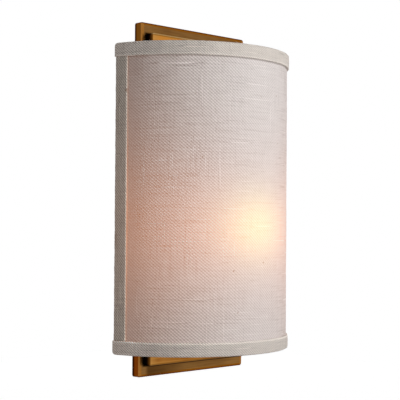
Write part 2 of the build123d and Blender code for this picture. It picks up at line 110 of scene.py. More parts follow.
def grained_noise(material, place, size, detail, offset=(0, 0, 0)):
    """A noise whose grain has a given size in metres along each axis."""
    scale = [1 / length for length in size]
    place = add(material, "ShaderNodeMapping", {"Vector": place, "Location": offset, "Scale": scale})
    return noise(material, place.outputs["Vector"], 1, detail)


def mottled(name, tints, grain, roughness, lift, sockets=()):
    """A material with one noise of a given grain size in metres. The noise runs the colour between two tints
    and the roughness between two values, and lifts the surface."""
    material, shader = surface(name, dict(sockets))
    place = add(material, "ShaderNodeTexCoord").outputs["Object"]
    mottle = grained_noise(material, place, (grain, grain, grain), 5)
    first, second = (linear(code) for code in tints)
    colour = blend(material, ramp(material, mottle, 0.3, 0.7, shape="LINEAR"), first, second)
    join(material, colour, shader.inputs["Base Color"])
    low, high = roughness
    rough = ramp(material, mottle, 0.3, 0.7, low=low, high=high, shape="LINEAR")
    join(material, rough, shader.inputs["Roughness"])
    lift_surface(material, shader, mottle, lift)
    return material


def dress(material, *nodes):
    """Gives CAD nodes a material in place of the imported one."""
    for node in nodes:
        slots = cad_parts[node].data.materials
        slots.clear()
        slots.append(material)


# Zinc plating over mild steel: a cool satin grey with a faint crystalline mottle.
zinc = mottled(
    "zinc_plated_steel", ("A9ADAB", "C6C8C4"), 0.0012, (0.28, 0.46), 0.00001, {"Metallic": 1.0}
)
# The same plating dyed green, the mark of an earthing screw: a soft metallic green.
green = mottled(
    "green_passivated_steel", ("2F6B3C", "4A8A56"), 0.0010, (0.30, 0.48), 0.00001, {"Metallic": 1.0}
)
dress(zinc, "wall_strap", "stud_spacers", "bracket_nuts", "nipple_locknut", "lamp_bracket")
dress(green, "earth_screw")


# ---------------------------------------------------------------------------------------------------------
# Mounting studs
# Two M4 steel studs, rolled from zinc plated rod, screwed into the strap. They pass through both plates,
# so that two cap nuts pull the light against the wall.

def skin(name, grids, material, round_rows=False, poles=False):
    """A mesh over grids of points, each with rows, columns and 3 coordinates. Neighbours make quads, each
    row is closed, and the first and last rows are closed by a flat face, by the next row round or by their
    pole. The faces are turned outwards by the sign of the volume that they enclose."""
    points, faces, start = [], [], 0
    for grid in grids:
        rows, columns = grid.shape[:2]
        index = start + np.arange(rows * columns).reshape(rows, columns)
        above = np.roll(index, -1, 0) if round_rows else index[1:]
        below = index if round_rows else index[:-1]
        quads = np.stack([below, np.roll(below, -1, 1), np.roll(above, -1, 1), above], 2).reshape(-1, 4)
        corners = grid.reshape(-1, 3)[quads - start]
        crossed = np.cross(corners[:, 2] - corners[:, 0], corners[:, 3] - corners[:, 1])
        centre = grid.reshape(-1, 3).mean(0)
        outwards = np.einsum("ij,ij->", corners.mean(1) - centre, crossed) > 0
        ends = [] if round_rows or poles else [index[0][::-1], index[-1]]
        patches = [*quads, *ends]
        faces += [(patch if outwards else patch[::-1]).tolist() for patch in patches]
        points.append(grid.reshape(-1, 3))
        start += rows * columns
    mesh = bpy.data.meshes.new(name)
    mesh.from_pydata(np.concatenate(points).tolist(), [], faces)
    if poles:
        merged = bmesh.new()
        merged.from_mesh(mesh)
        bmesh.ops.remove_doubles(merged, verts=merged.verts, dist=1e-7)
        merged.to_mesh(mesh)
        merged.free()
    mesh.shade_smooth()
    mesh.set_sharp_from_angle(angle=math.radians(40))
    mesh.materials.append(material)
    piece = bpy.data.objects.new(name, mesh)
    bpy.context.scene.collection.objects.link(piece)
    return piece


def dressed_as(piece, body, slot, *nodes):
    """The piece rides on a body and stands for CAD nodes, which it hides. The slot is not used."""
    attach(piece, body)
    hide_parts(*nodes)
    return piece


def thread(start, end, radius, depth, pitch, fade, steps=9, columns=24):
    """Radius, height and turn of a screw thread on a grid, with its rows from start to end, that many steps
    to a pitch, and its columns round it. The radius is the crest's, less the depth times a smooth wave of
    height over pitch less turn, and it fades to the crest over a length at both ends."""
    rows = int(steps * abs(end - start) / pitch) + 2
    height = np.linspace(start, end, rows)[:, None]
    turn = np.arange(columns)[None, :] / columns
    inside = np.minimum(abs(height - start), abs(end - height))
    wave = 0.5 - 0.5 * np.cos(2 * np.pi * (height / pitch - turn))
    cut = np.clip(inside / fade, 0, 1) * wave
    return radius - depth * cut, height + 0 * turn, 2 * np.pi * turn + 0 * height


def out_of_wall(x, z, radius, out, turn):
    """Points round a line square to the wall: x + radius cos turn, -out, z + radius sin turn."""
    return np.stack([x + radius * np.cos(turn), -out, z + radius * np.sin(turn)], -1)


studs_low, studs_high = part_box("mounting_studs")
stud_radius = studs_high.z
stud_x = studs_high.x - stud_radius
stud_pitch = 0.0007
stud_thread_depth = 0.0004
stud_crest, stud_height, stud_turn = thread(
    0, -studs_low.y, stud_radius, stud_thread_depth, stud_pitch, fade=stud_pitch
)
threaded_studs = skin(
    "threaded_studs",
    [out_of_wall(side * stud_x, 0, stud_crest, stud_height, stud_turn) for side in (-1, 1)],
    zinc,
)
dressed_as(threaded_studs, "wall_plate", "zinc_steel", "mounting_studs")


# ---------------------------------------------------------------------------------------------------------
# Back plate
# A tray pressed from 1.6 mm brass sheet, brushed along its width and chemically aged to an olive brown. Its
# colour carries painted shade in the step, on the sides, on the level edges and at the rim against the wall,
# and a painted highlight along the upright front edges.

def maths(material, operation, *values):
    """The result of a Math node, whose values are numbers or links in the order of its sockets."""
    return add(material, "ShaderNodeMath", enumerate(values), operation=operation).outputs[0]


def vector_maths(material, operation, *values):
    """The result of a Vector Math node: a number for a length, distance or dot product, else a vector."""
    sockets = (0, "Scale") if operation == "SCALE" else (0, 1, 2)
    node = add(material, "ShaderNodeVectorMath", zip(sockets, values), operation=operation)
    return node.outputs["Value" if operation in ("LENGTH", "DISTANCE", "DOT_PRODUCT") else "Vector"]


def past_outline(material, place, half):
    """How far a place lies past a tray's upright edges and past its level edges, negative inside them: |x|
    less the tray's half width, and |z| less its half height."""
    past = vector_maths(material, "ABSOLUTE", place)
    past = vector_maths(material, "SUBTRACT", past, (half[0], 0, half[1]))
    past = add(material, "ShaderNodeSeparateXYZ", {0: past}).outputs
    return past["X"], past["Z"]


def brass(name, tints, half):
    """Aged brass on a tray whose half width and height are half. Fine streaks along x and broad blotches run
    between the tints. Returns the material, its shader, the place, the colour and the two distances past
    the tray's outline."""
    material, shader = surface(name, {"Metallic": 1.0, "Specular Tint": linear("B08C58")})
    place = add(material, "ShaderNodeTexCoord").outputs["Object"]
    # Brush marks about 0.2 mm apart, drawn 0.9 mm apart so that they show, and 40 mm long
    marks = grained_noise(material, place, (0.040, 0.040, 0.0009), 3)
    blotches = noise(material, place, 0.028, 4)
    both = add(material, "ShaderNodeMix", {0: 0.55, 2: blotches, 3: marks}).outputs[0]
    light, deep = (linear(code) for code in tints)
    colour = blend(material, ramp(material, both, 0.36, 0.64, shape="LINEAR"), light, deep)
    return material, shader, place, colour, *past_outline(material, place, half)


def where_all(material, *masks):
    """The product of masks, which is 1 only where all of them are."""
    whole = masks[0]
    for mask in masks[1:]:
        whole = maths(material, "MULTIPLY", whole, mask)
    return whole


def finish_brass(material, shader, place, colour, layers):
    """Lays tints over the brass by their masks, in order, and gives it a brushed roughness and bump."""
    for mask, tint in layers:
        colour = blend(material, mask, colour, linear(tint))
    join(material, colour, shader.inputs["Base Color"])
    # Scratches about 0.1 mm apart, drawn 0.5 mm apart so that they show, and 30 mm long
    fine = grained_noise(material, place, (0.030, 0.030, 0.0005), 3)
    rough = ramp(material, fine, 0.3, 0.7, low=0.34, high=0.52, shape="LINEAR")
    join(material, rough, shader.inputs["Roughness"])
    lift_surface(material, shader, fine, 0.00002)


plate_low, plate_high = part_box("back_plate")
raised_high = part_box("raised_plate")[1]
plate_half = (plate_high.x, plate_high.z)
raised_half = (raised_high.x, raised_high.z)
plate_out = -plate_low.y
step_out = -raised_high.y

# Brass aged in a liver of sulphur bath: an olive brown that stays metallic, with soft streaks.
olive, plate_shader, plate_place, plate_colour, plate_aside, plate_above = brass(
    "aged_brass_olive", ("90693A", "76522C"), plate_half
)
plate_parts = add(olive, "ShaderNodeSeparateXYZ", {0: plate_place}).outputs
# Painted shade in the corner between the two trays: dark within 3 mm of the raised tray's outline
raised_aside, raised_above = past_outline(olive, plate_place, raised_half)
painted_step_shade = where_all(
    olive,
    ramp(olive, raised_aside, 0.0036, 0.0002),
    ramp(olive, raised_above, 0.0020, 0.0),
    ramp(olive, plate_parts["Y"], -plate_out + 0.0011, -plate_out + 0.0004),
)
# Darkest at the lower left corner, except in a margin 10 mm wide along the outline
corner_dark = where_all(
    olive,
    ramp(olive, plate_parts["X"], -0.010, -0.060, 0.75),
    ramp(olive, plate_aside, -0.0080, -0.0135),
    ramp(olive, plate_parts["Z"], -plate_half[1] + 0.022, -plate_half[1] + 0.006),
)
# A painted highlight: a band 3.4 mm wide is lighter along the upright edges, with its middle 2 mm inside the
# outline
painted_edge_highlight = maths(olive, "COMPARE", plate_aside, -0.0020, 0.0017)
on_side = ramp(olive, plate_aside, -0.0004, 0.0)
towards_low = ramp(olive, plate_parts["Z"], -0.08, -0.16)
side_root = ramp(olive, plate_parts["Y"], -0.0044, -0.0008)
finish_brass(olive, plate_shader, plate_place, plate_colour, [
    # Warm beside the level edges
    (ramp(olive, plate_above, -0.0036, -0.0020), "8E5616"),
    (corner_dark, "4A2E14"),
    # Painted highlight along the upright edges
    (painted_edge_highlight, "A06C30"),
    # Painted shade: darker brown sides, redder towards the lower end
    (on_side, "72481A"),
    (where_all(olive, on_side, towards_low), "74380C"),
    # Painted shade: dark on the level edges and at the rim against the wall, most of all at the lower end
    (ramp(olive, plate_above, -0.0018, -0.0008), "5C2E08"),
    (ramp(olive, plate_parts["Y"], -0.0036, -0.0014), "42200A"),
    (where_all(olive, side_root, towards_low), "280E04"),
    # Painted shade in the step between the two trays
    (painted_step_shade, "241608"),
])
dress(olive, "back_plate")


# ---------------------------------------------------------------------------------------------------------
# Raised plate
# A second, smaller tray of the same sheet that stands 10 mm proud of the first, brushed and aged. It is
# tinted a warmer gold, which is painted light from the lamp, and its sides carry painted shade from near
# black at their root to brown at the front edge.

# The same aged brass, tinted a warmer gold as painted light from the lamp.
gold, gold_shader, gold_place, gold_colour, gold_aside, gold_above = brass(
    "aged_brass_gold_lamp_lit", ("B9823E", "965A20"), raised_half
)
gold_parts = add(gold, "ShaderNodeSeparateXYZ", {0: gold_place}).outputs
raised_end = raised_half[1]
finish_brass(gold, gold_shader, gold_place, gold_colour, [
    # Painted light: brighter towards the top, and a painted reflection beside the upright edges
    (ramp(gold, gold_parts["Z"], raised_end - 0.050, raised_end - 0.015, 0.85), "D2903F"),
    (ramp(gold, gold_aside, -0.0110, -0.0015, 0.7), "C08C48"),
    # Painted shade beside the level edges, with a pale painted reflection on them, but painted shade on the
    # lower one
    (ramp(gold, gold_above, -0.0030, -0.0018, 0.7), "7A5424"),
    (ramp(gold, gold_above, -0.0016, -0.0008), "B89C70"),
    (ramp(gold, gold_parts["Z"], -raised_end + 0.0016, -raised_end + 0.0008), "341F0C"),
    # Painted shade: brown sides, near black at their root
    (ramp(gold, gold_aside, -0.0006, -0.0001), "6A4214"),
    (ramp(gold, gold_parts["Y"], -step_out - 0.0092, -step_out - 0.0040), "140B05"),
])
dress(gold, "raised_plate")


# ---------------------------------------------------------------------------------------------------------
# Plate screws
# Four M3 pan head machine screws with cross recesses, zinc plated. They pull the raised tray's posts down
# from inside the back plate, so they show only from behind.

def recessed_head(radius, height, recess, steps=14, columns=48):
    """Radius, height and turn over a pan head from its pole to its foot. The dome is height times
    1 - 0.45 (r / radius) ** 4, and a cross of two slots, sunk by recess, fades out at 0.62 of the radius."""
    share = np.concatenate([np.linspace(0, 1, steps), [1.0, 1.0]])[:, None]
    turn = 2 * np.pi * np.arange(columns)[None, :] / columns
    across = radius * share * np.minimum(abs(np.sin(turn)), abs(np.cos(turn)))
    slot = np.clip((0.16 * radius - across) / (0.06 * radius), 0, 1) * np.clip((0.62 - share) / 0.08, 0, 1)
    dome = height * (1 - 0.45 * share ** 4) - recess * slot
    dome[-1] = 0
    return radius * share + 0 * turn, dome, turn + 0 * share


def cross_screw(x, z, seat, tip, head, shank):
    """Grids of a screw square to the wall. Its head, of a radius, height and recess, rises from its seat
    away from its tip. Its shank, of a radius, thread depth and pitch, is closed by its middle."""
    rim, rise, turn = recessed_head(*head)
    dome = out_of_wall(x, z, rim, seat + math.copysign(1, seat - tip) * rise, turn)
    core = out_of_wall(x, z, *thread(seat, tip, *shank, fade=shank[-1]))
    middle = np.broadcast_to(core[-1].mean(0), core[-1].shape)
    return [dome, np.concatenate([core, middle[None]])]


screws_low, screws_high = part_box("plate_screws")
screw_head_radius = 0.0030
screw_head_height = 0.0020
screw_head = (screw_head_radius, screw_head_height, 0.0009)
screw_shank = (0.0015, 0.0003, 0.0005)
screw_x = screws_high.x - screw_head_radius
screw_z = screws_high.z - screw_head_radius
screw_seat = -screws_high.y + screw_head_height
screw_grids = []
for x in (-screw_x, screw_x):
    for z in (-screw_z, screw_z):
        screw_grids += cross_screw(x, z, screw_seat, -screws_low.y, screw_head, screw_shank)
cross_screws = skin("cross_recess_screws", screw_grids, zinc, poles=True)
dressed_as(cross_screws, "wall_plate", "zinc_steel", "plate_screws")


# ---------------------------------------------------------------------------------------------------------
# Cap nuts, hooks and rivets
# Domed brass nuts on the studs, and two bent brass strips riveted to the raised tray, which carry the
# shade's cross wire. All are aged in the same bath as the plates.

# Turned and bent brass, aged: tarnished between the gold and the olive of the plates.
small_brass = mottled(
    "aged_brass_small", ("9A6A30", "B98A48"), 0.0030, (0.32, 0.50), 0.00001, {"Metallic": 1.0}
)
dress(small_brass, "cap_nuts", "shade_hooks", "hook_rivets")


# ---------------------------------------------------------------------------------------------------------
# Lamp bracket
# A steel angle, bent from 1.6 mm strip and zinc plated, on two pan head screws. A threaded nipple and its
# locknut hold the lampholder on its foot.

bracket_low, bracket_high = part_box("bracket_screws")
bracket_head_radius = 0.0038
bracket_head_height = 0.0024
bracket_head = (bracket_head_radius, bracket_head_height, 0.0011)
bracket_shank = (0.0020, 0.0004, 0.0007)
bracket_seat = -bracket_low.y - bracket_head_height
bracket_grids = []
for z in (bracket_low.z + bracket_head_radius, bracket_high.z - bracket_head_radius):
    bracket_grids += cross_screw(0, z, bracket_seat, -bracket_high.y, bracket_head, bracket_shank)
bracket_fasteners = skin("bracket_cross_screws", bracket_grids, zinc, poles=True)
dressed_as(bracket_fasteners, "wall_plate", "zinc_steel", "bracket_screws")


def upright(x, out, radius, height, turn):
    """Points round an upright line: x + radius cos turn, -out + radius sin turn, height."""
    return np.stack([x + radius * np.cos(turn), -out + radius * np.sin(turn), height], -1)


nipple_low, nipple_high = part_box("nipple")
lamp_out = -(nipple_low.y + nipple_high.y) / 2
nipple_bore = 0.0034
nipple_pitch = 0.00094
nipple_outside = thread(nipple_low.z, nipple_high.z, nipple_high.x, 0.0006, nipple_pitch, fade=0.0009)
nipple_inside = thread(nipple_high.z, nipple_low.z, nipple_bore, 0, 10 * nipple_pitch, fade=0.0009)
nipple_rows = [upright(0, lamp_out, *nipple_outside), upright(0, lamp_out, *nipple_inside)]
threaded_nipple = skin("threaded_nipple", [np.concatenate(nipple_rows)], zinc, round_rows=True)
dressed_as(threaded_nipple, "wall_plate", "zinc_steel", "nipple")


# ---------------------------------------------------------------------------------------------------------
# Lampholder
# A cup moulded in black phenolic resin, with a rolled brass screw shell and a brass contact tongue inside.
# The nipple screws into its base.

# Phenolic resin: near black with a low sheen and fine filler specks.
phenolic = mottled("moulded_phenolic", ("141210", "24201C"), 0.0006, (0.28, 0.40), 0.00001, {"IOR": 1.6})
# Drawn cartridge brass, unlacquered and bright.
bright_brass = mottled(
    "drawn_brass", ("C69C4C", "DDB866"), 0.0015, (0.18, 0.32), 0.000005, {"Metallic": 1.0}
)
dress(phenolic, "lampholder_body")
dress(bright_brass, "holder_centre_contact")

shell_low, shell_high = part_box("holder_screw_shell")
lamp_pitch = 0.00363
shell_wall = 0.0004
shell_depth = 0.00045
shell_bore = shell_high.x - shell_wall + shell_depth
shell_inside = thread(
    shell_low.z, shell_high.z, shell_bore, shell_depth, lamp_pitch, fade=0.002, steps=20, columns=64
)
shell_radius, shell_height, shell_turn = (rows[::-1] for rows in shell_inside)
shell_outside = (shell_radius + shell_wall - 0.99 * shell_depth, shell_height, shell_turn)
shell_rows = [upright(0, lamp_out, *shell_inside), upright(0, lamp_out, *shell_outside)]
rolled_shell = skin("rolled_screw_shell", [np.concatenate(shell_rows)], bright_brass, round_rows=True)
dressed_as(rolled_shell, "wall_plate", "plain_brass", "holder_screw_shell")


# ---------------------------------------------------------------------------------------------------------
# Leads
# Two insulated copper leads run from the lampholder down the nipple and back through a nylon bushing in
# the plates. Each ends in a ribbed twist-on connector in the hollow behind the back plate.

# Moulded nylon: black and dull.
nylon = mottled("black_nylon", ("0E0E0E", "1A1A1A"), 0.0008, (0.42, 0.55), 0.00001)
# Soft polyvinyl chloride insulation: slightly glossy off white.
insulation = mottled("pvc_insulation", ("E4E0D4", "F0EDE4"), 0.0020, (0.35, 0.45), 0.00001)
# Moulded polypropylene: a waxy satin orange.
orange = mottled("orange_polypropylene", ("C25A18", "D46A24"), 0.0015, (0.38, 0.50), 0.00001)
dress(nylon, "plate_bushing")
dress(insulation, "lamp_leads")

connectors_low, connectors_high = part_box("lead_connectors")
connector_length = 0.020
connector_mouth = (connectors_high.z - connectors_low.z) / 2
connector_tip = 0.0025
connector_bore = 0.00125
connector_bore_depth = 0.008
connector_ribs = 14
lead_z = (connectors_high.z + connectors_low.z) / 2
lead_y = (connectors_high.y + connectors_low.y) / 2


def ribbed_cone(steps=24, columns=84):
    """Distance from the mouth, radius and turn over a twist-on connector, from the bottom of its bore round
    its mouth to its closed tip. The wall tapers in a straight line, times 0.93 + 0.07 cos(ribs turn) past a
    plain collar. Two finger wings, 1.6 exp(-(cos turn / 0.2) ** 2) mm high, stand up and down from the mouth
    and taper away towards the tip."""
    share = np.concatenate([np.linspace(0, 1, steps), np.ones(3)])[:, None]
    closing = np.concatenate([np.ones(steps), [0.75, 0.4, 0.0]])[:, None]
    turn = 2 * np.pi * np.arange(columns)[None, :] / columns
    wall = connector_mouth + (connector_tip - connector_mouth) * share
    ribs = 0.93 + 0.07 * np.cos(connector_ribs * turn) * np.clip((share - 0.12) / 0.05, 0, 1)
    wings = 0.0016 * np.exp(-(np.cos(turn) / 0.20) ** 2) * np.clip(1.1 - 1.5 * share, 0, 1)
    outside = (wall * ribs + wings) * closing
    bore = np.full((1, columns), connector_bore)
    bottom = np.full((1, columns), connector_bore_depth)
    along = np.concatenate([bottom, bottom, 0 * bottom, connector_length * share + 0 * turn])
    radius = np.concatenate([0 * bore, bore, bore, outside])
    return along, radius, np.broadcast_to(turn, radius.shape)


cone_along, cone_radius, cone_turn = ribbed_cone()
connector_grids = []
for side in (-1, 1):
    x = side * (connectors_high.x - connector_length + cone_along)
    around = (lead_y + cone_radius * np.cos(cone_turn), lead_z + cone_radius * np.sin(cone_turn))
    connector_grids.append(np.stack([x, *around], -1))
connectors = skin("ribbed_connectors", connector_grids, orange, poles=True)
dressed_as(connectors, "wall_plate", "connector_nylon", "lead_connectors")


# ---------------------------------------------------------------------------------------------------------
# Lamp
# A lit filament lamp: a blown glass bulb, frosted inside by acid, in a rolled metal screw cap that is closed
# by black glass and a solder contact. It screws into the lampholder, base down.

glass_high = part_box("lamp_glass")[1]
globe_radius = glass_high.x
light_z = glass_high.z - globe_radius

# Soda lime glass, etched inside: matt and white, lit brightest round the filament and dimmer down the neck.
bulb, bulb_shader = surface("frosted_bulb_glass", {
    "Base Color": linear("8C857A"), "Roughness": 0.42, "IOR": 1.5, "Emission Strength": 1.5,
})
bulb_place = add(bulb, "ShaderNodeTexCoord").outputs["Object"]
light_place = (0, -lamp_out, light_z)
neck_end = 0.070
from_light = vector_maths(bulb, "DISTANCE", bulb_place, light_place)
neck_share = ramp(bulb, from_light, globe_radius, neck_end, shape="LINEAR")
glow_colour = blend(bulb, neck_share, linear("FFC589"), linear("956538"))
join(bulb, glow_colour, bulb_shader.inputs["Emission Color"])
# Etched pits are too fine to show, and are drawn 0.6 mm apart
lift_surface(bulb, bulb_shader, noise(bulb, bulb_place, 0.0006, 2), 0.000008)
dress(bulb, "lamp_glass")

# Lead glass of the stem: clear and green grey in its thickness.
stem_glass = mottled(
    "clear_stem_glass", ("DCE6E0", "EEF4F0"), 0.004, (0.02, 0.06), 0.000005,
    {"Transmission Weight": 0.9, "IOR": 1.52},
)
# Nickel plated brass, burnished by the rolling of its thread: bright and slightly warm.
cap_metal = mottled(
    "nickel_plated_cap", ("B5B2AA", "CFCDC6"), 0.0014, (0.20, 0.36), 0.00001, {"Metallic": 1.0}
)
# Pressed black glass: glossy, with a fire polished face.
black_glass = mottled(
    "black_base_glass", ("08080A", "141418"), 0.0020, (0.08, 0.16), 0.00001, {"IOR": 1.5}
)
# Drawn wire, heated in use: a dark dull grey.
filament_metal = mottled(
    "nickel_and_tungsten_wire", ("5E5A56", "7C7873"), 0.0008, (0.30, 0.42), 0.00001, {"Metallic": 1.0}
)
dress(stem_glass, "lamp_stem")
dress(cap_metal, "lamp_contact")
dress(black_glass, "lamp_insulator")
dress(filament_metal, "lamp_filament")

cap_low, cap_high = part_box("lamp_cap")
cap_wall = 0.00022
cap_depth = 0.00055
cap_plain = 0.0070
cap_chamfer = 0.0004
thread_low, thread_high = cap_low.z, cap_high.z - cap_plain
cap_screw = thread(
    thread_low, thread_high, cap_high.x, cap_depth, lamp_pitch, fade=0.0016, steps=20, columns=64
)
collar_height = np.linspace(thread_high, cap_high.z, 6)[1:, None] + 0 * cap_screw[2][:1]
collar_radius = np.full_like(collar_height, cap_high.x) - cap_chamfer * (collar_height == cap_high.z)
cap_radius = np.concatenate([cap_screw[0], collar_radius])
cap_height = np.concatenate([cap_screw[1], collar_height])
cap_turn = np.broadcast_to(cap_screw[2][:1], cap_height.shape)
cap_rows = [
    upright(0, lamp_out, cap_radius, cap_height, cap_turn),
    upright(0, lamp_out, cap_radius[::-1] - cap_wall, cap_height[::-1], cap_turn),
]
rolled_cap = skin("rolled_lamp_cap", [np.concatenate(cap_rows)], cap_metal, round_rows=True)
dressed_as(rolled_cap, "lamp", "lamp_cap_metal", "lamp_cap")


# ---------------------------------------------------------------------------------------------------------
# Shade wires
# A frame of 3 mm steel wire, butt welded and powder coated white: a ring at the top and bottom, two
# uprights, the cross wire that hangs in the hooks, and two stays with soft sleeves that rest on the plate.

# Baked polyester powder: a dull white with a fine orange peel.
coated = mottled("white_powder_coat", ("DEDCD6", "E8E6E0"), 0.0009, (0.36, 0.48), 0.00003)
# Soft vinyl tube: milky, half clear and slightly glossy.
sleeve = mottled("soft_clear_sleeve", ("CFCDC4", "DEDCD4"), 0.0030, (0.28, 0.38), 0.00001, {
    "Transmission Weight": 0.35, "IOR": 1.45,
})
dress(coated, "top_ring_wire", "bottom_ring_wire", "side_wires", "hanger_wire", "stay_wires")
dress(sleeve, "stay_sleeves")


# ---------------------------------------------------------------------------------------------------------
# Liner
# A stiff sheet of translucent white polystyrene, 0.6 mm thick, bent round the wires. It gives the linen its
# curve and spreads the lamp's light.

cover_low, cover_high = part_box("linen_cover")
shade_edge_out = 0.010
liner_thickness = 0.0006
linen_thickness = 0.0005
glue_line = 0.00005
shade_rise = -cover_low.y - shade_edge_out
shade_radius = (cover_high.x ** 2 + shade_rise ** 2) / (2 * shade_rise)
shade_axis_y = shade_radius + cover_low.y
shade_angle = math.acos(1 - shade_rise / shade_radius)


def round_shade(radius, angle, height):
    """Points round the shade's axis: radius sin angle, axis - radius cos angle, height."""
    return np.stack([radius * np.sin(angle), shade_axis_y - radius * np.cos(angle), height], -1)


def lamp_glow(material, place):
    """How bright the lamp makes the cloth at a place. Returns the halo and the core. With r the distance
    from the lamp's upright axis and h the height from the light, the halo is
    0.02 + 0.32 (0.068 / r) ** 0.5 (r r / (r r + h h)) ** 1.25. The core is exp(-d d), with d the distance
    from the bulb's middle in units of 37 mm across and 33 mm up."""
    halo_centre = (0, -lamp_out, light_z - 0.007)
    away = vector_maths(material, "SUBTRACT", place, halo_centre)
    flat = vector_maths(material, "LENGTH", vector_maths(material, "MULTIPLY", away, (1, 1, 0)))
    near = maths(material, "POWER", maths(material, "DIVIDE", 0.068, flat), 0.5)
    level = maths(material, "DIVIDE", flat, vector_maths(material, "LENGTH", away))
    level = maths(material, "POWER", level, 2.5)
    halo = maths(material, "MULTIPLY", near, level)
    halo = maths(material, "MULTIPLY_ADD", halo, 0.32, 0.02)
    core_centre, core_size = (-0.004, 0, light_z - 0.001), (1 / 0.037, 0, 1 / 0.033)
    core = vector_maths(material, "SUBTRACT", place, core_centre)
    core = vector_maths(material, "LENGTH", vector_maths(material, "MULTIPLY", core, core_size))
    core = maths(material, "POWER", math.exp(-1), maths(material, "POWER", core, 2.0))
    return halo, core


# Polystyrene sheet: satin and milky, and the lamp lights it warm from inside.
liner_material = mottled("translucent_polystyrene", ("E9E5DC", "F1EEE6"), 0.0200, (0.45, 0.55), 0.00001, {
    "Emission Strength": 1.0,
})
liner_shader = liner_material.node_tree.nodes["Principled BSDF"]
liner_place = add(liner_material, "ShaderNodeTexCoord").outputs["Object"]
liner_halo, liner_core = lamp_glow(liner_material, liner_place)
liner_light = maths(liner_material, "MULTIPLY_ADD", liner_core, 0.5, liner_halo)
liner_light = vector_maths(liner_material, "SCALE", linear("F9BF8B")[:3], liner_light)
join(liner_material, liner_light, liner_shader.inputs["Emission Color"])
dress(liner_material, "shade_liner")


# ---------------------------------------------------------------------------------------------------------
# Linen
# A plain woven natural linen with thick and thin yarns, laminated to the liner and pulled tight round it.
# The lamp shines through it: a pale yellow core in front of the bulb, and a wide pink and orange halo.

# Yarns 0.9 mm apart, drawn 1.8 mm apart along the cloth and 1.5 mm apart across it, so that they show
yarn_along = 0.00180
yarn_across = 0.001525


def weave(material, cloth, finer):
    """Height of the weave, about 0 and mostly from -1 to 1, at a place on the cloth. Two crossed waves,
    cos(pi x / along + pi y / across) and 0.3 cos(pi x / along - pi y / across), make the dots of a plain
    weave in diagonal rows. Stretched noise makes yarns of uneven thickness along and across the cloth, and
    where it is highest a slub, a short thick run of one yarn that shades its neighbours. The yarns are
    closer by finer."""
    cloth = vector_maths(material, "SCALE", cloth, finer)
    # The yarns wander by up to 0.4 mm over 12 mm
    drift = add(material, "ShaderNodeTexNoise", {"Vector": cloth, "Scale": 1 / 0.012, "Detail": 2})
    drift = vector_maths(material, "SUBTRACT", drift.outputs["Color"], (0.5, 0.5, 0.5))
    drift = vector_maths(material, "MULTIPLY_ADD", drift, (0.0008, 0.0008, 0.0008), cloth)
    waves = []
    for lean in (1, -1):
        way = (math.pi / yarn_along, lean * math.pi / yarn_across, 0)
        waves.append(maths(material, "COSINE", vector_maths(material, "DOT_PRODUCT", drift, way)))
    height = maths(material, "MULTIPLY_ADD", waves[1], 0.30, waves[0])
    height = maths(material, "MULTIPLY", height, 0.72)
    # The size of a thick run along and across the cloth and its share, and the same for a slub
    for run, share, slub, rise in (
        ((0.030, 0.0019, 1), 1.1, (0.0720, 0.00209, 1), 0.78),
        ((0.0019, 0.028, 1), 0.8, (0.00209, 0.0672, 1), 0.50),
    ):
        thick = maths(material, "SUBTRACT", grained_noise(material, cloth, run, 2), 0.5)
        height = maths(material, "MULTIPLY_ADD", thick, share, height)
        slubs = grained_noise(material, cloth, slub, 1, offset=(3.7, 9.1, 0))
        # A shaded edge, and a raised middle inside it
        for start, end, lift in ((0.585, 0.635, -0.75), (0.645, 0.695, 1.75)):
            height = maths(material, "ADD", ramp(material, slubs, start, end, lift * rise), height)
    return height


def line(material, coordinate, centre, half_width):
    """A soft line along the cloth: 1 at the centre, falling smoothly to 0 at half the width away."""
    away = maths(material, "ABSOLUTE", maths(material, "SUBTRACT", coordinate, centre))
    return ramp(material, away, half_width, 0.3 * half_width)


